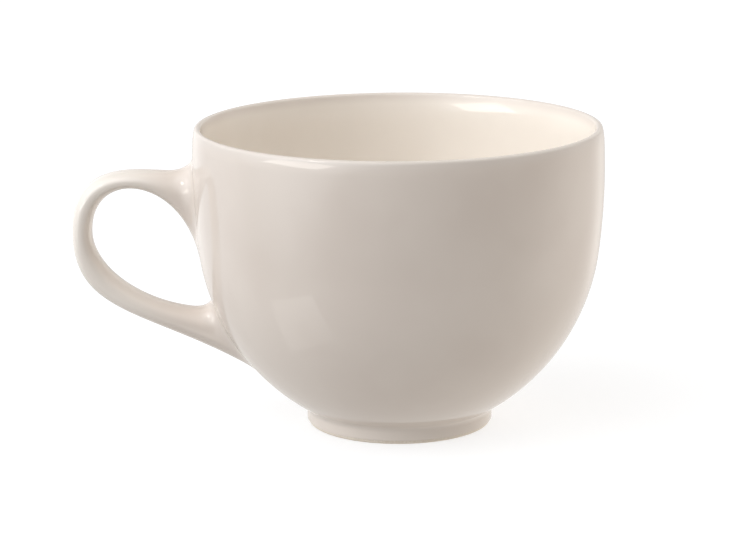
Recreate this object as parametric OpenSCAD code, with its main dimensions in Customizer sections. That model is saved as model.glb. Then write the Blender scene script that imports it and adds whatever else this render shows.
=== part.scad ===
// Cappuccino cup: a slip-cast bowl on a foot ring, an ear handle luted on with slip, and its glaze.
// Millimetres. +Z is up, the table is z = 0, the cup's axis is Z and the handle points along -X.
// Bowl, foot and handle sizes are those of the finished cup, with its glaze on.

/* [Bowl] */
// Height of the cup from the table to the top of the lip
cup_h = 70; // [62:1:84]
// Widest outside diameter of the bowl
belly_d = 94.6; // [86:0.2:106]
// Depth of the widest point below the top of the lip
belly_drop = 10.4; // [6:0.2:16]
// Radius of the slow curve up the outside of the wall
barrel_arc = 154; // [120:1:260]
// Depth below the lip at which the slow curve turns into the round curve down to the foot
turn_drop = 28.8; // [24:0.2:34]
// Thickness of the wall where the two curves meet
wall_t = 3.2; // [2.6:0.1:4.4]
// Thickness of the lip
lip_t = 2.2; // [1.6:0.1:2.8]
// Height of the floor inside the cup above the table
floor_z = 5.8; // [5:0.1:8]
// Radius of the curve from the floor to the wall inside
floor_arc = 25; // [18:0.5:30]

/* [Foot] */
// Outside diameter of the foot ring
foot_d = 43.2; // [38:0.2:48]
// Height at which the bowl's curve reaches the foot's side
foot_h = 3.9; // [3.2:0.1:4.8]
// Width of the foot ring, from its outside to the recess
foot_w = 3.6; // [3:0.1:5]
// Radius of the hollow between the foot and the bowl
foot_fillet = 2; // [1:0.1:2.6]
// Radius of the bare rim's two edges
foot_round = 0.7; // [0.4:0.1:0.8]
// Depth of the recess under the base
recess_z = 2.2; // [1.8:0.1:2.6]
// Radius of the recess's corner
recess_fillet = 1; // [0.5:0.1:1.2]
// Height of the bare rim that the glaze stops above
bare_h = 0.9; // [0.8:0.1:1.4]

/* [Handle] */
// How far the handle stands out beyond the bowl's widest point
handle_reach = 28; // [24:0.5:34]
// Depth of the handle's outermost point below the lip
handle_drop = 24.8; // [21:0.2:28]
// Thickness of the band at its outermost point
handle_t = 4.5; // [3.6:0.1:5.6]
// Width of the band, along the finger
handle_w = 9.5; // [8:0.1:12]
// How square the band's oval section is, 2 being a plain ellipse
section_power = 2.3; // [2:0.1:3]

/* [Upper root] */
// Depth of the root's top edge below the lip
upper_root_drop = 9.1; // [7:0.1:12]
// Height of the root on the wall
upper_root_h = 22.9; // [18:0.1:26]
// Width of the root on the wall
upper_root_w = 14; // [11:0.1:17]
// Pull of the top edge straight out from the wall
neck_run = 8.7; // [6:0.1:12]
// Dip of the top edge beside the wall
neck_dip = 2.9; // [1:0.1:4]
// Pull of the throat under the root, out from the wall
throat_run = 4.2; // [2:0.1:7]
// Pull of the throat under the root, up along the wall
throat_rise = 21.9; // [18:0.1:25]

/* [Loop] */
// Pull of the outer edge above the outermost point
shoulder_rise = 20.1; // [16:0.1:24]
// Pull of the outer edge below the outermost point
heel_drop = 20; // [16:0.1:24]
// Pull of the finger gap's edge above the outermost point
finger_rise = 15.4; // [12:0.1:18]
// Pull of the finger gap's edge below the outermost point
finger_drop = 9.4; // [7:0.1:12]

/* [Lower root] */
// Height of the root's tip above the table
lower_root_z = 11; // [9:0.1:13]
// Height of the root on the wall
lower_root_h = 17.5; // [14:0.1:20]
// Width of the root on the wall
lower_root_w = 13; // [10:0.1:16]
// Pull of the tail out from its tip
tail_run = 26.1; // [22:0.1:30]
// Pull of the tail up from its tip
tail_rise = 16.5; // [14:0.1:19]
// Pull of the gap's lower edge out from the wall
sill_run = 13.6; // [10:0.1:17]
// Dip of the gap's lower edge beside the wall
sill_dip = 2.4; // [1:0.1:4]

/* [Slip and glaze] */
// Thickness of the slip that sticks each root to the wall
slip_t = 0.6; // [0.4:0.1:1]
// Thickness of the glaze
glaze_t = 0.3; // [0.2:0.05:0.5]

/* [Hidden] */

// Flat steps round the axis in a preview, and along each stretch of the outline
$fn = 120;
lip_steps = 5;
barrel_steps = 9;
bowl_steps = 20;
corner_steps = 6;
// Sections along each half of the handle, and sides of each section
steps = 14;
sides = 24;
// How far the handle's sweep runs on into the wall before it is cut
sunk = 3;
// How far the inner edge runs ahead of the outer one, which keeps the sections square to the band
edge_lead = 1.2;
// How fast a root narrows to the band's width
root_taper = 3;
// Least straight stretch of the recess's side above the bare rim
least_side = 0.1;

// Outlines lie beside the axis as [radius, height]. Depth is how far an outline lies under the finished
// surface: nothing for the finished cup, the glaze's thickness for its clay, and less than nothing outside.
function arc(c, r, from, to, n, first = 0) =
    [for (i = [first : n]) let (a = from + (to - from) * i / n) c + r * [cos(a), sin(a)]];
function reversed(list) = [for (i = [len(list) - 1 : -1 : 0]) list[i]];
function angle_of(way) = atan2(way.y, way.x);
function rise_angle(c, r, z) = asin((z - c.y) / r);

// Outside: a slow arc up the wall, and a round arc that carries on from it to the foot's corner
foot_r = foot_d / 2;
barrel_c = [belly_d / 2 - barrel_arc, cup_h - belly_drop];
turn_z = cup_h - turn_drop;
turn_a = rise_angle(barrel_c, barrel_arc, turn_z);
turn_way = [cos(turn_a), sin(turn_a)];
turn_point = barrel_c + barrel_arc * turn_way;
foot_way = turn_point - [foot_r, foot_h];
bowl_arc = foot_way * foot_way / (2 * (turn_way * foot_way));
bowl_c = turn_point - bowl_arc * turn_way;

// Lip: a half circle on top of the wall
lip_z = cup_h - lip_t / 2;
function arc_r(c, r, z) = c.x + sqrt(r * r - (z - c.y) * (z - c.y));
function outside_r(z, depth = 0) =
    z > turn_z ? arc_r(barrel_c, barrel_arc - depth, z) : arc_r(bowl_c, bowl_arc - depth, z);

// Inside: a slow arc from the lip, the round arc less the wall, and a round corner to the floor
inner_arc = bowl_arc - wall_t;
lip_way = [outside_r(lip_z) - lip_t, lip_z] - bowl_c;
inner_gap = (lip_way * lip_way - inner_arc * inner_arc) / (2 * (inner_arc - turn_way * lip_way));
inner_barrel_c = bowl_c - inner_gap * turn_way;
inner_barrel_arc = inner_arc + inner_gap;
floor_gap = inner_arc - floor_arc;
floor_lift = floor_z + floor_arc - bowl_c.y;
floor_c = [bowl_c.x + sqrt(floor_gap * floor_gap - floor_lift * floor_lift), floor_z + floor_arc];
floor_a = angle_of(floor_c - bowl_c);

// Hollow between the foot's side and the bowl, and the recess under the base
hollow_r = foot_r + foot_fillet;
hollow_reach = bowl_arc + foot_fillet;
hollow_z = bowl_c.y - sqrt(hollow_reach * hollow_reach - (hollow_r - bowl_c.x) * (hollow_r - bowl_c.x));
hollow_c = [hollow_r, hollow_z];
hollow_a = angle_of(hollow_c - bowl_c);
recess_r = foot_r - foot_w;
recess_corner = min(recess_fillet, recess_z - bare_h - least_side);
recess_c = [recess_r - recess_corner, recess_z - recess_corner];

// Stretches of the outlines, all going up the outside, over the lip and down the inside
function hollow_line(depth) =
    arc(hollow_c, foot_fillet + depth, 180, 180 + hollow_a, corner_steps);
function seat_line(depth) =
    let (r = bowl_arc - depth)
    arc(bowl_c, r, rise_angle(bowl_c, r, recess_z + depth), hollow_a, corner_steps);
function wall_line(depth) =
    let (r = barrel_arc - depth)
    [
        each arc(bowl_c, bowl_arc - depth, hollow_a, turn_a, bowl_steps, 1),
        each arc(barrel_c, r, turn_a, rise_angle(barrel_c, r, lip_z), barrel_steps, 1)
    ];
function lip_line(depth, from, to) =
    let (inside_r = arc_r(inner_barrel_c, inner_barrel_arc + depth, lip_z))
    let (half_t = (outside_r(lip_z, depth) - inside_r) / 2)
    arc([inside_r + half_t, lip_z], half_t, from, to, lip_steps, from == 0 ? 1 : 0);
function drink_line(depth) =
    let (r = inner_barrel_arc + depth)
    [
        each arc(inner_barrel_c, r, rise_angle(inner_barrel_c, r, lip_z), turn_a, barrel_steps, 1),
        each arc(bowl_c, inner_arc + depth, turn_a, floor_a, bowl_steps, 1),
        each arc(floor_c, floor_arc + depth, floor_a, -90, corner_steps, 1),
        [0, floor_z - depth]
    ];
function recess_line(depth) = arc(recess_c, recess_corner + depth, 90, 0, corner_steps);
function outer_line(depth) =
    [[foot_r - depth, bare_h], each hollow_line(depth), each wall_line(depth), each lip_line(depth, 0, 90)];
function inner_line(depth) = [each lip_line(depth, 90, 180), each drink_line(depth)];
function base_line(depth) = [[0, recess_z + depth], each recess_line(depth), [recess_r + depth, bare_h]];

// Handle: outer and inner edge, each as an upper and a lower cubic curve, from root to root
handle_x = -belly_d / 2 - handle_reach;
handle_z = cup_h - handle_drop;
finger_x = handle_x + handle_t;
upper_top_z = cup_h - upper_root_drop;
upper_low_z = upper_top_z - upper_root_h;
lower_top_z = lower_root_z + lower_root_h;
roots_split_z = (upper_low_z + lower_top_z) / 2;
function on_wall(z) = [-outside_r(z), z];
upper_out = [
    on_wall(upper_top_z),
    on_wall(upper_top_z) - [neck_run, neck_dip],
    [handle_x, handle_z + shoulder_rise],
    [handle_x, handle_z]
];
lower_out = [
    [handle_x, handle_z],
    [handle_x, handle_z - heel_drop],
    on_wall(lower_root_z) + [-tail_run, tail_rise],
    on_wall(lower_root_z)
];
upper_in = [
    on_wall(upper_low_z),
    on_wall(upper_low_z) + [-throat_run, throat_rise],
    [finger_x, handle_z + finger_rise],
    [finger_x, handle_z]
];
lower_in = [
    [finger_x, handle_z],
    [finger_x, handle_z - finger_drop],
    on_wall(lower_top_z) - [sill_run, sill_dip],
    on_wall(lower_top_z)
];

function cubic(p, t) =
    pow(1 - t, 3) * p[0] + 3 * t * pow(1 - t, 2) * p[1] + 3 * t * t * (1 - t) * p[2] + pow(t, 3) * p[3];
function lead(t) = 1 - pow(1 - t, edge_lead);
function widened(root_w, t) = (handle_w + (root_w - handle_w) * pow(t, root_taper)) / 2;
function oval(v) = sign(v) * pow(abs(v), 2 / section_power);

// One section of the band between its two edges, set in from the finished surface by depth
function section(outer, inner, half_w, depth, shift) =
    let (mid = (outer + inner) / 2 + [shift, 0])
    let (span = norm(outer - inner))
    let (way = (outer - inner) / span)
    let (half_t = span / 2 - depth)
    [for (k = [0 : sides - 1])
        let (across = half_t * oval(cos(360 * k / sides)))
        [mid.x + across * way.x, (half_w - depth) * oval(sin(360 * k / sides)), mid.y + across * way.y]];
function upper_section(t, depth, shift = 0) =
    section(cubic(upper_out, t), cubic(upper_in, lead(t)), widened(upper_root_w, 1 - t), depth, shift);
function lower_section(t, depth, shift = 0) =
    section(cubic(lower_out, t), cubic(lower_in, lead(t)), widened(lower_root_w, t), depth, shift);
function band_points(depth) = [
    each upper_section(0, depth, sunk),
    for (i = [0 : steps]) each upper_section(i / steps, depth),
    for (i = [1 : steps]) each lower_section(i / steps, depth),
    each lower_section(1, depth, sunk)
];
rings = 2 * steps + 3;

// Triangles along a band whose points start at a given place, facing out or in
function band_faces(start, outward) = [
    for (i = [0 : rings - 2], k = [0 : sides - 1])
        let (a = start + i * sides + k)
        let (b = start + i * sides + (k + 1) % sides)
        each outward ? [[b, a, a + sides], [b, a + sides, b + sides]]
                     : [[a, b, a + sides], [b, b + sides, a + sides]]
];
last_ring = (rings - 1) * sides;
coat_start = rings * sides;

// Triangles that close the end of a coat, between a ring of its outside and the same ring of its inside
function coat_end(start, first) = [
    for (k = [0 : sides - 1])
        let (a = start + k)
        let (b = start + (k + 1) % sides)
        each first ? [[a, b, b + coat_start], [a, b + coat_start, a + coat_start]]
                   : [[b, a, a + coat_start], [b, a + coat_start, b + coat_start]]
];

// Solid inside the cup's outside up to the lip, which trims the handle to the wall
module cup_outside(depth) {
    rotate_extrude() polygon([
        [0, 0],
        [foot_r - depth, 0],
        each hollow_line(depth),
        each wall_line(depth),
        [0, lip_z]
    ]);
}

// Layer of glaze between two lines, one on the finished surface and one on the clay
module coat(finished, clay) {
    rotate_extrude() polygon([each finished, each reversed(clay)]);
}

// Solid of the handle's band, from one end inside the wall to the other
module band(depth) {
    first_end = [for (k = [0 : sides - 1]) k];
    last_end = [for (k = [sides - 1 : -1 : 0]) last_ring + k];
    polyhedron(points = band_points(depth), faces = [each band_faces(0, true), first_end, last_end]);
}

// Hollow solid between the band's finished surface and its clay
module band_coat() {
    polyhedron(
        points = [each band_points(0), each band_points(glaze_t)],
        faces = [
            each band_faces(0, true),
            each band_faces(coat_start, false),
            each coat_end(0, true),
            each coat_end(last_ring, false)
        ]
    );
}

// Sub-parts

module bowl() {
    color("#efe7da") rotate_extrude() polygon([
        [0, recess_z + glaze_t],
        each seat_line(glaze_t),
        each wall_line(glaze_t),
        each lip_line(glaze_t, 0, 90),
        each inner_line(glaze_t)
    ]);
}

module foot_ring() {
    inner_edge = [recess_r + glaze_t + foot_round, foot_round];
    outer_edge = [foot_r - glaze_t - foot_round, foot_round];
    color("#e2d6c3") rotate_extrude() polygon([
        each arc(inner_edge, foot_round, 180, 270, corner_steps),
        each arc(outer_edge, foot_round, 270, 360, corner_steps),
        each hollow_line(glaze_t),
        each reversed(seat_line(glaze_t)),
        each recess_line(glaze_t)
    ]);
}

module handle() {
    color("#ece2d2") difference() {
        band(glaze_t);
        cup_outside(glaze_t - slip_t);
    }
}

module slip_joint(z0, z1) {
    color("#d8c9b0") difference() {
        intersection() {
            band(glaze_t);
            cup_outside(glaze_t - slip_t);
            translate([0, 0, z0]) cylinder(h = z1 - z0, r = belly_d);
        }
        cup_outside(glaze_t);
    }
}

module upper_slip_joint() {
    slip_joint(roots_split_z, cup_h);
}

module lower_slip_joint() {
    slip_joint(hollow_z, roots_split_z);
}

module inner_glaze() {
    color("#f3e9d6") coat(inner_line(0), inner_line(glaze_t));
}

module outer_glaze() {
    color("#f5eee2") difference() {
        coat(outer_line(0), outer_line(glaze_t));
        band(0);
    }
}

module handle_glaze() {
    color("#f5eee2") difference() {
        band_coat();
        cup_outside(glaze_t);
    }
}

module base_glaze() {
    color("#f1e6d2") coat(base_line(0), base_line(glaze_t));
}

bowl();
foot_ring();
handle();
upper_slip_joint();
lower_slip_joint();
inner_glaze();
outer_glaze();
handle_glaze();
base_glaze();
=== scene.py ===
# %% [markdown]
# # A glazed cappuccino cup
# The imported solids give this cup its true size: a turned bowl on a foot ring, an ear handle stuck on with
# slip, and coats of glaze. This lesson draws the same cup as the eye meets it, as fired porcelain whose
# glaze has run smooth over every joint. It starts by loading the solids as a frame that stays fixed.

# %% Load the frame
import math

import bmesh
import bpy
from mathutils import Matrix, Vector


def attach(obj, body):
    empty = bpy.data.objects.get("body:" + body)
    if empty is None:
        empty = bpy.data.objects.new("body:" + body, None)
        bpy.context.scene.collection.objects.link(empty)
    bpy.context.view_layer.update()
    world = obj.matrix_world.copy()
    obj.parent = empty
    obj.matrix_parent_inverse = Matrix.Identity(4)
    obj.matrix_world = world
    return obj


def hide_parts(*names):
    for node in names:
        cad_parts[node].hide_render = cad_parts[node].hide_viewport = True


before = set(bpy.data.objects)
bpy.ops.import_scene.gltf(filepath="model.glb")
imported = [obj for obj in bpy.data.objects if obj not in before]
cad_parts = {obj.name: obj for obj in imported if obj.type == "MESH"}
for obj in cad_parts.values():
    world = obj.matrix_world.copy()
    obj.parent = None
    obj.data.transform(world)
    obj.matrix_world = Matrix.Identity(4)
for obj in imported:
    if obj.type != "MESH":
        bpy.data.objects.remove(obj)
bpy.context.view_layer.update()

print("solids in the frame:", ", ".join(sorted(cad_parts)))

# %% [markdown]
# ## The outside's outline
# A cup turned on a wheel or jiggered in a mould is known by its outline: a slow curve up the wall, a round
# curve under it, a lip and a foot. A curve drawn by eye could give it, but every radius would then be a
# guess. Here each stretch is an arc with a stated size in millimetres. The sizes are those of the solids,
# apart from the lip, which the glaze rolls more softly.

# %% Sizes of the outside
cup_height = 70.0
belly_radius = 47.3
belly_drop = 10.4
barrel_arc = 154.0
turn_drop = 28.8
lip_round = 15.0
lip_turn = math.radians(13.5)
lip_tip = 0.78
foot_radius = 21.6
foot_corner_height = 3.9
foot_hollow = 2.0
print(f"{cup_height:.1f} mm high, {2 * belly_radius:.1f} mm across, foot {2 * foot_radius:.1f} mm across")

# %% [markdown]
# ## Centres of the outside's arcs
# Neighbouring arcs share a tangent where they meet, so light runs over the wall without a break. The round
# arc has to leave the slow one at the turn and reach the foot's corner, which is enough to find its radius.
# All of this is worked out beside the axis, where a point is a radius and a height.


# %% Find the arcs of the outside
def toward(angle):
    return Vector((math.cos(angle), math.sin(angle)))


def angle_of(way):
    return math.atan2(way.y, way.x)


barrel_centre = Vector((belly_radius - barrel_arc, cup_height - belly_drop))
turn_height = cup_height - turn_drop
turn_angle = math.asin((turn_height - barrel_centre.y) / barrel_arc)
turn_point = barrel_centre + barrel_arc * toward(turn_angle)
from_foot = turn_point - Vector((foot_radius, foot_corner_height))
bowl_arc = from_foot.length_squared / (2 * toward(turn_angle).dot(from_foot))
bowl_centre = turn_point - bowl_arc * toward(turn_angle)
print(f"round arc {bowl_arc:.2f} mm, turning at {turn_height:.1f} mm")

# %% Find the lip and the hollow above the foot
lip_reach = cup_height - lip_tip - (lip_round - lip_tip) * math.sin(lip_turn)
lip_angle = math.asin((lip_reach - barrel_centre.y) / (barrel_arc - lip_round))
lip_centre = barrel_centre + (barrel_arc - lip_round) * toward(lip_angle)
tip_centre = lip_centre + (lip_round - lip_tip) * toward(lip_turn)
foot_hollow_x = foot_radius + foot_hollow
foot_hollow_reach = bowl_arc + foot_hollow
foot_hollow_centre = Vector((
    foot_hollow_x,
    bowl_centre.y - math.sqrt(foot_hollow_reach**2 - (foot_hollow_x - bowl_centre.x) ** 2),
))
foot_hollow_angle = angle_of(foot_hollow_centre - bowl_centre)
print(f"lip's edge {tip_centre.x + lip_tip:.2f} mm out, hollow centred {foot_hollow_centre.y:.2f} mm up")

# %% [markdown]
# ## The inside's outline
# The inside follows the outside at the wall's thickness, thins to the lip, and ends in a shallow floor. An
# offset copy of the outside would keep one thickness all the way up, so the inside has a slow arc of its
# own, and a last round that meets both that arc and the lip.

# %% Find the arcs of the inside
wall_thickness = 3.2
inner_barrel_arc = 195.0
lip_inner_turn = math.radians(14)
floor_height = 5.8
floor_arc = 25.0

inner_bowl_arc = bowl_arc - wall_thickness
inner_barrel_centre = bowl_centre + (inner_bowl_arc - inner_barrel_arc) * toward(turn_angle)
to_tip = tip_centre - inner_barrel_centre
over_tip = toward(math.pi - lip_inner_turn)
inner_round = ((to_tip + lip_tip * over_tip).length_squared - inner_barrel_arc**2) / (
    2 * (inner_barrel_arc + to_tip.dot(over_tip) + lip_tip)
)
inner_lip_centre = tip_centre - (inner_round - lip_tip) * over_tip
inner_lip_angle = angle_of(inner_lip_centre - inner_barrel_centre)
floor_gap = inner_bowl_arc - floor_arc
floor_lift = floor_height + floor_arc - bowl_centre.y
floor_centre = Vector((
    bowl_centre.x + math.sqrt(floor_gap**2 - floor_lift**2),
    floor_height + floor_arc,
))
floor_angle = angle_of(floor_centre - bowl_centre)
print(f"lip rolls in on a {inner_round:.2f} mm round, floor curve centred {floor_centre.x:.2f} mm out")

# %% [markdown]
# ## Drawing an outline
# A turner's outline can be drawn with two operators. Extruding one vertex gives a straight stretch, and
# spinning one vertex round a centre gives an arc. Drawing it so keeps every arc true, where a hand-placed
# curve would bulge between its points. One more spin, a full turn about the cup's axis, makes the piece.

# %% Helpers that draw an outline and turn it
mm = 0.001
weld_distance = 1e-4


def start_outline(mesh, r, z):
    return mesh.verts.new((r, 0, z))


def line_to(mesh, tip, r, z):
    fresh = bmesh.ops.extrude_vert_indiv(mesh, verts=[tip])["verts"][0]
    fresh.co = (r, 0, z)
    return fresh


def arc_about(mesh, tip, centre, turn, steps):
    made = bmesh.ops.spin(
        mesh, geom=[tip], cent=(centre.x, 0, centre.y), axis=(0, -1, 0), angle=turn, steps=steps
    )
    return next(v for v in made["geom_last"] if isinstance(v, bmesh.types.BMVert))


def turn_outline(mesh, steps):
    bmesh.ops.spin(
        mesh, geom=mesh.verts[:] + mesh.edges[:], cent=(0, 0, 0), axis=(0, 0, 1),
        angle=math.tau, steps=steps, use_merge=True,
    )
    bmesh.ops.remove_doubles(mesh, verts=mesh.verts[:], dist=weld_distance)


# %% A helper that makes the drawn mesh a piece
def piece_from(mesh, name, crease=math.radians(50)):
    bmesh.ops.recalc_face_normals(mesh, faces=mesh.faces[:])
    bmesh.ops.scale(mesh, vec=(mm, mm, mm), verts=mesh.verts[:])
    data = bpy.data.meshes.new(name)
    mesh.to_mesh(data)
    mesh.free()
    data.polygons.foreach_set("use_smooth", [True] * len(data.polygons))
    data.set_sharp_from_angle(angle=crease)
    piece = bpy.data.objects.new(name, data)
    bpy.context.scene.collection.objects.link(piece)
    print(f"{name}: {len(data.vertices)} vertices, {len(data.polygons)} faces")
    return piece


# %% [markdown]
# ## The glazed wall
# On the real cup the glaze covers the wall inside and out in one skin, over the lip, and stops in a rounded
# bead just above the foot's bare rim. Two coats would meet in a seam at the lip, so the wall is one closed
# turned piece. Its underside is hidden, and leaves room for the foot ring and the recess under the base.

# %% Sizes of the glaze's edge
glaze_thickness = 0.3
snug = 0.02
bare_height = 0.9
recess_height = 2.2
skirt_radius = foot_radius - glaze_thickness + snug
bead_round = (foot_radius - skirt_radius) / 2
bead_centre = Vector((skirt_radius + bead_round, bare_height + bead_round))
seat_height = recess_height + glaze_thickness - snug
print(f"the glaze stops {bare_height:.1f} mm up, in a bead of {bead_round:.2f} mm radius")

# %% Turn the glazed wall
wall_steps = 192
small_steps = 8
roll_steps = 10
floor_steps = 16
slow_steps = 18
round_steps = 44

mesh = bmesh.new()
tip = start_outline(mesh, 0, seat_height)
tip = line_to(mesh, tip, skirt_radius, seat_height)
tip = line_to(mesh, tip, skirt_radius, bead_centre.y)
tip = arc_about(mesh, tip, bead_centre, math.pi, small_steps)
tip = line_to(mesh, tip, foot_radius, foot_hollow_centre.y)
tip = arc_about(mesh, tip, foot_hollow_centre, foot_hollow_angle, small_steps)
tip = arc_about(mesh, tip, bowl_centre, turn_angle - foot_hollow_angle, round_steps)
tip = arc_about(mesh, tip, barrel_centre, lip_angle - turn_angle, slow_steps)
tip = arc_about(mesh, tip, lip_centre, lip_turn - lip_angle, small_steps)
tip = arc_about(mesh, tip, tip_centre, math.pi - lip_inner_turn - lip_turn, roll_steps)
tip = arc_about(mesh, tip, inner_lip_centre, lip_inner_turn + inner_lip_angle, roll_steps)
tip = arc_about(mesh, tip, inner_barrel_centre, turn_angle - inner_lip_angle, slow_steps)
tip = arc_about(mesh, tip, bowl_centre, floor_angle - turn_angle, round_steps)
tip = arc_about(mesh, tip, floor_centre, -math.pi / 2 - floor_angle, floor_steps)
line_to(mesh, tip, 0, floor_height)
turn_outline(mesh, wall_steps)
glazed_wall = piece_from(mesh, "glazed_wall")

# %% [markdown]
# ## The foot's bare rim
# Glaze would weld a cup to the kiln's shelf, so the potter wipes it off the foot. What shows is a ring of
# bare clay with two soft edges. It could be a torus, but the flat between its edges is what the cup stands
# on, so it is an outline with two quarter arcs, turned.

# %% Turn the bare foot rim
foot_width = 3.6
rim_round = 0.7
quarter = math.pi / 2
rim_outside = foot_radius - glaze_thickness
rim_inside = foot_radius - foot_width + glaze_thickness + snug
rim_top = seat_height - snug

mesh = bmesh.new()
first = start_outline(mesh, rim_inside, rim_top)
tip = line_to(mesh, first, rim_inside, rim_round)
tip = arc_about(mesh, tip, Vector((rim_inside + rim_round, rim_round)), quarter, small_steps)
tip = line_to(mesh, tip, rim_outside - rim_round, 0)
tip = arc_about(mesh, tip, Vector((rim_outside - rim_round, rim_round)), quarter, small_steps)
tip = line_to(mesh, tip, rim_outside, rim_top)
mesh.edges.new((tip, first))
turn_outline(mesh, wall_steps)
foot_rim = piece_from(mesh, "foot_rim")

# %% [markdown]
# ## The glaze under the base
# The recess under the cup is glazed too, because nothing rests there. A flat disc would leave the recess a
# sharp corner, so its coat is a shallow dish with a rounded one. The dish's edge stops above the rim in a
# bead like the one outside.

# %% Turn the recess glaze
recess_corner = 1.0
dish_bead_steps = 6
recess_radius = foot_radius - foot_width
corner_centre = Vector((recess_radius - recess_corner, recess_height - recess_corner))
dish_edge = (glaze_thickness - snug) / 2
dish_bead = Vector((recess_radius + dish_edge, bare_height + dish_edge))

mesh = bmesh.new()
tip = start_outline(mesh, 0, recess_height)
tip = line_to(mesh, tip, corner_centre.x, recess_height)
tip = arc_about(mesh, tip, corner_centre, -quarter, small_steps)
tip = line_to(mesh, tip, recess_radius, bare_height + dish_edge)
tip = arc_about(mesh, tip, dish_bead, math.pi, dish_bead_steps)
tip = line_to(mesh, tip, recess_radius + 2 * dish_edge, corner_centre.y)
tip = arc_about(mesh, tip, corner_centre, quarter, small_steps)
line_to(mesh, tip, 0, recess_height + 2 * dish_edge)
turn_outline(mesh, wall_steps)
recess_glaze = piece_from(mesh, "recess_glaze")

# %% [markdown]
# ## The ear handle
# The handle is a band with an oval section that swells into a root at each end. A curve with a bevel could
# give the band, but not roots that lie on a round wall. So each station of the band is an oval between two
# drawn edges, an outer and an inner one, and the band is extruded ring by ring from root to root.

# %% Edges of the handle
ear_x = -75.3
ear_height = 45.2
ear_thickness = 4.5
finger_x = ear_x + ear_thickness


def wall_radius(z):
    centre, arc = (barrel_centre, barrel_arc) if z > turn_height else (bowl_centre, bowl_arc)
    return centre.x + math.sqrt(arc**2 - (z - centre.y) ** 2)


def at_wall(z, out=0.0, up=0.0):
    return Vector((-wall_radius(z) - out, z + up))


def at_ear(x, up=0.0):
    return Vector((x, ear_height + up))


upper_outer = [at_wall(59.8), at_wall(59.8, out=8.7, up=-1.5), at_ear(ear_x, up=20.1), at_ear(ear_x)]
upper_inner = [at_wall(38.6), at_wall(38.0, out=4.2, up=21.9), at_ear(finger_x, up=15.4), at_ear(finger_x)]
lower_outer = [at_ear(ear_x), at_ear(ear_x, up=-20.0), at_wall(11.0, out=26.1, up=16.5), at_wall(11.5)]
lower_inner = [at_ear(finger_x), at_ear(finger_x, up=-9.4), at_wall(28.5, out=13.6, up=-2.4), at_wall(27.4)]
print(f"handle reaches {-ear_x - belly_radius:.1f} mm beyond the belly")

# %% Ovals between the edges
ear_half_width = 4.75
upper_root_half = 5.8
lower_root_half = 5.4
root_taper = 3.0
section_power = 2.3
inner_lead = 1.2
sides = 48


def along(pulls, t):
    a, b, c, d = pulls
    return (1 - t) ** 3 * a + 3 * t * (1 - t) ** 2 * b + 3 * t * t * (1 - t) * c + t**3 * d


def rounded(v):
    return math.copysign(abs(v) ** (2 / section_power), v)


def ear_point(upper, t, k):
    outer = along(upper_outer if upper else lower_outer, t)
    inner = along(upper_inner if upper else lower_inner, 1 - max(0, 1 - t) ** inner_lead)
    root_half = upper_root_half if upper else lower_root_half
    nearness = 1 - t if upper else t
    half_width = ear_half_width + (root_half - ear_half_width) * nearness**root_taper
    turn = math.tau * k / sides
    centre = (outer + inner) / 2 + (outer - inner) / 2 * rounded(math.cos(turn))
    return Vector((centre.x, half_width * rounded(math.sin(turn)), centre.y))


print(f"band {2 * ear_half_width:.1f} mm wide, upper root {2 * upper_root_half:.1f} mm wide")

# %% [markdown]
# ## Roots that run into the wall
# Slip is smoothed round each root with a wet brush, and glaze fills what is left, so the real handle has no
# crease at the wall but a small hollow that catches a spark of light. A bevel after a boolean would need a
# clean cut first. Here each root's last rings follow a short curve that leaves the band and lies down on
# the wall, then dive under the surface, where the ring is closed.


# %% Helpers that know the wall
def wall_arc_near(point):
    flat = Vector((math.hypot(point.x, point.y), point.z))
    below = angle_of(flat - bowl_centre) < turn_angle
    return flat, (bowl_centre if below else barrel_centre), (bowl_arc if below else barrel_arc)


def wall_gap(point):
    flat, centre, arc = wall_arc_near(point)
    return (flat - centre).length - arc


def laid_on_wall(point, depth):
    flat, centre, arc = wall_arc_near(point)
    flat = centre + (arc - depth) * (flat - centre).normalized()
    round_way = Vector((point.x, point.y, 0)).normalized()
    return round_way * flat.x + Vector((0, 0, flat.y))


def wall_normal(point):
    flat, centre, _ = wall_arc_near(point)
    out = (flat - centre).normalized()
    return Vector((point.x, point.y, 0)).normalized() * out.x + Vector((0, 0, out.y))


# %% Where the hollow leaves the band
hollow_out = 6.0
widest_share = 0.6
halvings = 30
nudge = 0.01


def root_end(upper):
    return 0 if upper else 1


def start_of_hollow(upper, k):
    at_root = root_end(upper)
    low, high = 0.0, widest_share
    for _ in range(halvings):
        middle = (low + high) / 2
        reach = (ear_point(upper, abs(at_root - middle), k) - ear_point(upper, at_root, k)).length
        low, high = (middle, high) if reach < hollow_out else (low, middle)
    return abs(at_root - high)


def way_to_root(upper, t, k):
    step = nudge if upper else -nudge
    return (ear_point(upper, t - step, k) - ear_point(upper, t + step, k)).normalized()


upper_starts = [start_of_hollow(True, k) for k in range(sides)]
lower_starts = [start_of_hollow(False, k) for k in range(sides)]
print(f"hollows start {hollow_out:.1f} mm out from the wall")

# %% Rings of a root, from the hidden end out to the band
hollow_along = 3.4
hollow_pull = 0.6
hollow_rings = 12
buried = 1.2
tuck_along = 0.5
tuck_depth = 0.15


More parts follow.
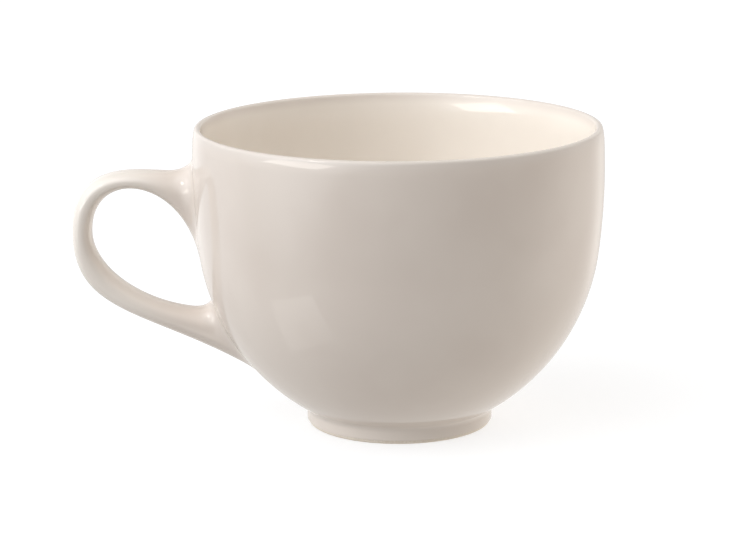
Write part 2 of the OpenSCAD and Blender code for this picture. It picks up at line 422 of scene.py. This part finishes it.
def root_rings(upper, starts):
    feet = [laid_on_wall(ear_point(upper, root_end(upper), k), 0) for k in range(sides)]
    middle = sum(feet, Vector()) / sides
    rings = [[] for _ in range(hollow_rings + 3)]
    for k, foot in enumerate(feet):
        step = feet[(k + 1) % sides] - feet[k - 1]
        away = step.cross(wall_normal(foot)).normalized()
        if away.dot(foot - middle) < 0:
            away.negate()
        rings[0].append(laid_on_wall(foot, buried))
        rings[1].append(laid_on_wall(foot + away * (hollow_along + tuck_along), tuck_depth))
        end = laid_on_wall(foot + away * hollow_along, snug)
        start = ear_point(upper, starts[k], k)
        lean = start + hollow_pull * hollow_out * way_to_root(upper, starts[k], k)
        pulls = [end, end + hollow_pull * (foot - end), lean, start]
        for i in range(hollow_rings + 1):
            rings[2 + i].append(along(pulls, i / hollow_rings))
    return rings


upper_rings = root_rings(True, upper_starts)
lower_rings = root_rings(False, lower_starts)
print(f"{len(upper_rings)} rings in each root")

# %% Rings of the band between the roots
stations = 36

band_rings = []
for i in range(1, stations + 1):
    band_rings.append([
        ear_point(True, start + (1 - start) * i / stations, k) for k, start in enumerate(upper_starts)
    ])
for i in range(1, stations):
    band_rings.append([
        ear_point(False, stop * i / stations, k) for k, stop in enumerate(lower_starts)
    ])
print(f"{len(band_rings)} rings in the band")


# %% Extrude the handle from root to root
def next_ring(mesh, ring, places):
    edges = [mesh.edges.get((a, b)) for a, b in zip(ring, ring[1:] + ring[:1])]
    made = bmesh.ops.extrude_edge_only(mesh, edges=edges)["geom"]
    fresh = {v for v in made if isinstance(v, bmesh.types.BMVert)}
    ring = [next(e.other_vert(v) for e in v.link_edges if e.other_vert(v) in fresh) for v in ring]
    for vertex, place in zip(ring, places):
        vertex.co = place
    return ring


mesh = bmesh.new()
first_ring = bmesh.ops.create_circle(mesh, segments=sides, radius=1)["verts"]
for vertex, place in zip(first_ring, upper_rings[0]):
    vertex.co = place
ring = first_ring
for places in upper_rings[1:] + band_rings + lower_rings[::-1]:
    ring = next_ring(mesh, ring, places)
mesh.faces.new(first_ring)
mesh.faces.new(ring)
ear_handle = piece_from(mesh, "ear_handle", crease=math.radians(80))

# %% [markdown]
# ## Roots that shade like the wall
# Glaze runs over the place where a root ends, so no line shows there. In the mesh, the handle and the wall
# still cross at a small angle. A boolean would join them, but it leaves slivers that spoil the shine. So
# the handle's normals turn into the wall's own where it comes down to the wall, and both shade alike.

# %% Melt the roots' normals into the wall
melt = 0.15

normals = []
for vertex in ear_handle.data.vertices:
    place = vertex.co / mm
    share = min(max(wall_gap(place) / melt, 0), 1)
    normals.append(wall_normal(place).lerp(vertex.normal, share).normalized())
ear_handle.data.normals_split_custom_set_from_vertices(normals)
print(f"{len(normals)} normals, the wall's own up to its surface and the handle's from {melt} mm above it")

# %% [markdown]
# ## Nodes for a finish
# A finish in Blender is a net of nodes that ends in a shader. The same few links come again and again: a
# noise read at a place, a value brought to a range, two colours mixed, and a height made a bump. Each is a
# short helper, so that a finish can be read as a recipe.


# %% Helpers that start a finish and read a place
def new_material(name):
    material = bpy.data.materials.new(name)
    material.use_nodes = True
    nodes = material.node_tree.nodes
    nodes.clear()
    out = nodes.new("ShaderNodeOutputMaterial")
    skin = nodes.new("ShaderNodeBsdfPrincipled")
    material.node_tree.links.new(skin.outputs["BSDF"], out.inputs["Surface"])
    place = nodes.new("ShaderNodeTexCoord")
    return material, nodes, material.node_tree.links, skin, place.outputs["Object"]


def noise(nodes, links, place, scale, detail):
    texture = nodes.new("ShaderNodeTexNoise")
    texture.inputs["Scale"].default_value = scale
    texture.inputs["Detail"].default_value = detail
    links.new(place, texture.inputs["Vector"])
    return texture.outputs["Fac"]


def ranged(nodes, links, value, low, high, to_low=0, to_high=1):
    node = nodes.new("ShaderNodeMapRange")
    node.interpolation_type = "SMOOTHSTEP"
    for name, number in (("From Min", low), ("From Max", high), ("To Min", to_low), ("To Max", to_high)):
        node.inputs[name].default_value = number
    links.new(value, node.inputs["Value"])
    return node.outputs["Result"]


# %% Helpers that mix colours and raise a bump
def mixed(nodes, links, share, first, second):
    node = nodes.new("ShaderNodeMix")
    node.data_type = "RGBA"
    links.new(share, node.inputs["Factor"])
    sockets = [s for s in node.inputs if s.type == "RGBA"]
    for socket, colour in zip(sockets, (first, second)):
        if isinstance(colour, tuple):
            socket.default_value = (*colour, 1)
        else:
            links.new(colour, socket)
    return next(s for s in node.outputs if s.type == "RGBA")


def bumped(nodes, links, height, distance, under=None):
    node = nodes.new("ShaderNodeBump")
    node.inputs["Strength"].default_value = 1
    node.inputs["Distance"].default_value = distance
    links.new(height, node.inputs["Height"])
    if under is not None:
        links.new(under, node.inputs["Normal"])
    return node.outputs["Normal"]


# %% [markdown]
# ## The glaze
# Ivory glaze over porcelain is a clear glass with a little cream in it, and it drifts a little in tone over
# the wall. Light and shade are painted into its colour as well: painted light makes it paler inside, on the
# ear and at the foot, and painted shade makes it a shade deeper on the lip. Its surface is melted, not
# machined, so a reflection in it wavers. A painted picture could show all this, but it would need a seam.
# Here all of it is read from the place on the cup, in metres, so the wall and the handle share one skin
# with no join in the pattern.

# %% Mix the ivory glaze
# Painted light and shade in the glaze's colour: the ear and the foot are painted paler, the lip a shade
# deeper.
ear_painted_light_tone, ear_painted_light_zone = (0.87, 0.81, 0.74), (-0.066, -0.048)
lip_painted_shade_tone, lip_painted_shade_zone = (0.725, 0.66, 0.60), (0.0672, 0.0697)
foot_painted_light_tone, foot_painted_light_zone = (0.80, 0.72, 0.645), (0.0030, 0.0065)
smoothest, roughest = 0.02, 0.05
slow_ripple = 0.000018
fine_ripple = 0.0000012
glass_index = 1.52


def mix_glaze(name, deep, pale):
    material, nodes, links, skin, place = new_material(name)
    split = nodes.new("ShaderNodeSeparateXYZ")
    links.new(place, split.inputs["Vector"])
    out, height = split.outputs["X"], split.outputs["Z"]
    drift = ranged(nodes, links, noise(nodes, links, place, scale=55, detail=2), low=0.35, high=0.65)
    tone = mixed(nodes, links, drift, deep, pale)
    # Painted light: the ear's glaze is made paler.
    ear_painted_light_share = ranged(nodes, links, out, *ear_painted_light_zone, to_low=1, to_high=0)
    tone = mixed(nodes, links, ear_painted_light_share, tone, ear_painted_light_tone)
    # Painted shade: the lip's glaze is darkened a shade.
    lip_painted_shade_share = ranged(nodes, links, height, *lip_painted_shade_zone)
    tone = mixed(nodes, links, lip_painted_shade_share, tone, lip_painted_shade_tone)
    # Painted light: the glaze just above the foot is made paler.
    foot_painted_light_share = ranged(nodes, links, height, *foot_painted_light_zone, to_low=1, to_high=0)
    tone = mixed(nodes, links, foot_painted_light_share, tone, foot_painted_light_tone)
    links.new(tone, skin.inputs["Base Color"])
    cloud = noise(nodes, links, place, scale=260, detail=3)
    gloss = ranged(nodes, links, cloud, low=0.3, high=0.7, to_low=smoothest, to_high=roughest)
    links.new(gloss, skin.inputs["Roughness"])
    ripple = bumped(nodes, links, noise(nodes, links, place, scale=70, detail=1), slow_ripple)
    ripple = bumped(nodes, links, noise(nodes, links, place, scale=900, detail=2), fine_ripple, ripple)
    links.new(ripple, skin.inputs["Normal"])
    skin.inputs["IOR"].default_value = glass_index
    print(f"{name}: {len(nodes)} nodes")
    return material


ivory_outside = mix_glaze("ivory_outside", (0.735, 0.657, 0.590), (0.755, 0.680, 0.612))
# The inside glaze is painted paler: painted light for the inside of the cup.
ivory_inside_painted_light = mix_glaze("ivory_inside_painted_light", (0.845, 0.785, 0.710), (0.863, 0.805, 0.731))

# %% [markdown]
# ## Bare clay
# The wiped rim is dry, fired clay: matt, a shade warmer than the glaze, with a fine grain and faint rings
# left by the sponge. The rings could be cut in the mesh, but they are finer than its faces. So a wave
# texture, set to rings about the upright axis, gives them as a bump, and a fine noise gives the grain.

# %% Mix the bare clay
dark_clay, pale_clay = (0.76, 0.67, 0.56), (0.83, 0.76, 0.66)
ring_depth = 0.00001
grain_depth = 0.00002

bare_clay, nodes, links, skin, place = new_material("bare_clay")
grain = noise(nodes, links, place, scale=2600, detail=4)
speckle = ranged(nodes, links, grain, low=0.35, high=0.7)
links.new(mixed(nodes, links, speckle, dark_clay, pale_clay), skin.inputs["Base Color"])
dryness = ranged(nodes, links, grain, low=0.3, high=0.7, to_low=0.6, to_high=0.85)
links.new(dryness, skin.inputs["Roughness"])
wiped = nodes.new("ShaderNodeTexWave")
wiped.wave_type = "RINGS"
wiped.rings_direction = "Z"
wiped.inputs["Scale"].default_value = 500
wiped.inputs["Distortion"].default_value = 2
links.new(place, wiped.inputs["Vector"])
rough = bumped(nodes, links, wiped.outputs["Fac"], ring_depth)
links.new(bumped(nodes, links, grain, grain_depth, rough), skin.inputs["Normal"])
print(f"bare_clay: {len(nodes)} nodes")

# %% [markdown]
# ## Joining the pieces to the frame
# Each piece takes its finish, rides on the cup's one body, and says which solids it stands for. The handle
# stands for its clay, its coat and the two layers of slip, all of which the glaze hides on the real cup.
# The wall has both glazes, because one skin runs over the lip, and the inside one carries painted light: it
# is made paler. Its faces choose between them afterwards.

# %% Hand the pieces to the frame
wall_solids = ("bowl", "inner_glaze", "outer_glaze")
handle_solids = ("handle", "handle_glaze", "upper_slip_joint", "lower_slip_joint")

for piece, finishes, slot, solids in (
    (glazed_wall, (ivory_outside, ivory_inside_painted_light), "glaze", wall_solids),
    (foot_rim, (bare_clay,), "bare_clay", ("foot_ring",)),
    (recess_glaze, (ivory_outside,), "glaze", ("base_glaze",)),
    (ear_handle, (ivory_outside,), "glaze", handle_solids),
):
    for finish in finishes:
        piece.data.materials.append(finish)
    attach(piece, "root")
    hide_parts(*solids)
    print(piece.name, "stands for", ", ".join(solids))

# %% Give the inside its paler glaze, painted light
inside_painted_light_finish = 1

inside_faces = [f for f in glazed_wall.data.polygons if wall_gap(f.center / mm) < -wall_thickness / 2]
for face in inside_faces:
    face.material_index = inside_painted_light_finish
print(len(inside_faces), "faces inside the wall take the paler glaze")

# %% [markdown]
# ## Floor
# The cup stands on a plain pale floor, wide enough that its edge is never in view. A white sheet lit by the
# room would do, but it would also light the cup from below and lie in the glaze as a hard white lens. So
# the paper is grey with a glow of its own, only the camera sees it, and it takes the cup's soft shadow.
# What a table sends up to a cup is set with the light.

# %% Lay the floor
floor_half = 4000.0
paper_glow = 0.60
paper_rough = 0.6

mesh = bmesh.new()
bmesh.ops.create_grid(mesh, x_segments=1, y_segments=1, size=floor_half)
floor = piece_from(mesh, "floor")
paper, nodes, links, skin, place = new_material("white_paper")
fibre = ranged(nodes, links, noise(nodes, links, place, scale=400, detail=2), low=0.3, high=0.7)
tone = mixed(nodes, links, fibre, (0.40, 0.41, 0.42), (0.42, 0.43, 0.44))
links.new(tone, skin.inputs["Base Color"])
skin.inputs["Roughness"].default_value = paper_rough
skin.inputs["Emission Color"].default_value = (1, 1, 1, 1)
skin.inputs["Emission Strength"].default_value = paper_glow
floor.data.materials.append(paper)
floor.visible_diffuse = False
floor.visible_glossy = False
floor.visible_shadow = False

# %% [markdown]
# ## Light
# Glazed ware shows what is round it, so the room is the light: daylight at the left, a dimmer and warmer
# room behind and at the right, little from the camera's side, and some light sent up by the table. Area
# lamps could give it, but each would show in the glaze with a hard edge. So the light is a ring of soft
# panels in the world. Each has a bearing across from the camera's side and up, and a spread, all in degrees.

# %% Set out the soft panels
daylight = (0.99, 1.0, 1.02)
room_light = (1.0, 0.96, 0.92)
soft_panels = (
    ("left front, high", -45, 42, 34, 1.52, daylight),
    ("left, high", -90, 42, 34, 0.9, daylight),
    ("left, low", -62, 14, 28, 1.35, daylight),
    ("left back, low", -130, 0, 34, 0.7, daylight),
    ("overhead", 0, 90, 40, 0.12, daylight),
    ("behind the cup", 180, 0, 34, 0.6, room_light),
    ("right back, high", 135, 42, 34, 0.5, room_light),
    ("right, high", 90, 42, 34, 0.7, room_light),
    ("front, high", 0, 42, 34, 0.2, room_light),
    ("front, low", 0, 8, 30, 0.02, room_light),
    ("right, low", 90, 8, 30, 0.35, room_light),
    ("right back, low", 135, 8, 30, 0.25, room_light),
    ("from the table", 72, -68, 45, 0.9, room_light),
    ("from the table, right", 120, -30, 34, 0.9, room_light),
    ("from the table, left", -120, -30, 34, 0.15, room_light),
    ("from the table, right front", 60, -30, 34, 0.09, room_light),
    ("from the table, back", 180, -30, 34, 0.12, room_light),
)
print(len(soft_panels), "soft panels round the cup")

# %% Light the room with them
core_share = 0.45
edge_share = 1.45


def bearing(across, up):
    a, e = math.radians(across), math.radians(up)
    return Vector((math.sin(a) * math.cos(e), -math.cos(a) * math.cos(e), math.sin(e)))


world = bpy.data.worlds.new("studio")
bpy.context.scene.world = world
world.use_nodes = True
nodes, links = world.node_tree.nodes, world.node_tree.links
nodes.clear()
way = nodes.new("ShaderNodeTexCoord").outputs["Generated"]
room = nodes.new("ShaderNodeBackground")
room.inputs["Strength"].default_value = 0
total = room.outputs["Background"]
for name, across, up, spread, brightness, colour in soft_panels:
    facing = nodes.new("ShaderNodeVectorMath")
    facing.operation = "DOT_PRODUCT"
    facing.inputs[1].default_value = bearing(across, up)
    links.new(way, facing.inputs[0])
    edge = math.cos(math.radians(spread * edge_share))
    core = math.cos(math.radians(spread * core_share))
    strength = ranged(nodes, links, facing.outputs["Value"], edge, core, to_high=brightness)
    panel = nodes.new("ShaderNodeBackground")
    panel.label = name
    panel.inputs["Color"].default_value = (*colour, 1)
    links.new(strength, panel.inputs["Strength"])
    both = nodes.new("ShaderNodeAddShader")
    links.new(total, both.inputs[0])
    links.new(panel.outputs["Background"], both.inputs[1])
    total = both.outputs["Shader"]
links.new(total, nodes.new("ShaderNodeOutputWorld").inputs["Surface"])
print(f"the world has {len(nodes)} nodes")

# %% [markdown]
# ## What shows in the glaze
# A few things in the room are sharp enough to be seen in the glaze: a window and a small lamp at the left,
# a bright patch of the table, and the tabletop round the foot. Lamps with a size could stand for them, but
# they would light the cup as well and flatten its soft shading. So each is one glowing face that only a
# reflection finds. The tabletop fades out round the cup, because its edge would draw a line on the bowl.

# %% Helpers that make a glowing pane
pane_colour = (1, 0.97, 0.93, 1)


def faded(nodes, links, light, near, far):
    reach = nodes.new("ShaderNodeVectorMath")
    reach.operation = "LENGTH"
    links.new(nodes.new("ShaderNodeTexCoord").outputs["Object"], reach.inputs[0])
    veil = nodes.new("ShaderNodeMixShader")
    links.new(ranged(nodes, links, reach.outputs["Value"], near, far), veil.inputs["Fac"])
    links.new(light, veil.inputs[1])
    links.new(nodes.new("ShaderNodeBsdfTransparent").outputs["BSDF"], veil.inputs[2])
    return veil.outputs["Shader"]


def pane(name, corners, radiance, fade=None):
    mesh = bmesh.new()
    mesh.faces.new([mesh.verts.new(corner) for corner in corners])
    panel = piece_from(mesh, name)
    finish = bpy.data.materials.new(name)
    finish.use_nodes = True
    nodes, links = finish.node_tree.nodes, finish.node_tree.links
    nodes.clear()
    shine = nodes.new("ShaderNodeEmission")
    shine.inputs["Color"].default_value = pane_colour
    shine.inputs["Strength"].default_value = radiance
    light = shine.outputs["Emission"]
    if fade:
        light = faded(nodes, links, light, *fade)
    links.new(light, nodes.new("ShaderNodeOutputMaterial").inputs["Surface"])
    panel.data.materials.append(finish)
    panel.visible_camera = False
    panel.visible_diffuse = False
    panel.visible_shadow = False


# %% Hang the window and the lamp, and lay the table
far_off = 1200.0
patch_height = 0.5
table_height = 0.4
table_half = 180.0
window_bearings = ((-79, 7), (-44, 6.5), (-34, 13.5), (-64, 16))
lamp_bearings = ((-58, 34), (-46, 34), (-46, 46), (-58, 46))
patch_corners = ((-92, -41), (-80, -86), (-33, -57), (-45, -30))
table_ways = ((-1, -1), (1, -1), (1, 1), (-1, 1))
table_fade = (0.05, 0.175)

pane("window", [far_off * bearing(*b) for b in window_bearings], radiance=5.5)
pane("table_patch", [(x, y, patch_height) for x, y in patch_corners], radiance=1.3)
around = [(x * table_half, y * table_half, table_height) for x, y in table_ways]
pane("tabletop", around, radiance=0.9, fade=table_fade)
pane("lamp", [far_off * bearing(*b) for b in lamp_bearings], radiance=12.0)

# %% [markdown]
# ## Camera
# The view was worked out from the rim's and the foot's ellipses: a long lens a little over half a metre
# away, looking slightly down. A constraint could aim the camera at the cup, but a place, a tilt and a small
# roll can be stated outright. Its tones are kept plain, so that pale glaze on a pale floor isn't dulled.

# %% Set the camera
lens = 128.266
film_width = 36
camera_place = (-0.006915, -0.59394, 0.17269)
degrees_down = 12.975
degrees_rolled = -0.424

camera_data = bpy.data.cameras.new("camera")
camera_data.sensor_fit = "HORIZONTAL"
camera_data.sensor_width = film_width
camera_data.lens = lens
camera = bpy.data.objects.new("camera", camera_data)
camera.matrix_world = (
    Matrix.Translation(camera_place)
    @ Matrix.Rotation(math.radians(90 - degrees_down), 4, "X")
    @ Matrix.Rotation(math.radians(degrees_rolled), 4, "Z")
)
bpy.context.scene.collection.objects.link(camera)
bpy.context.scene.camera = camera
bpy.context.scene.view_settings.view_transform = "Standard"
print(f"camera {Vector(camera_place).length:.3f} m from the cup's foot")
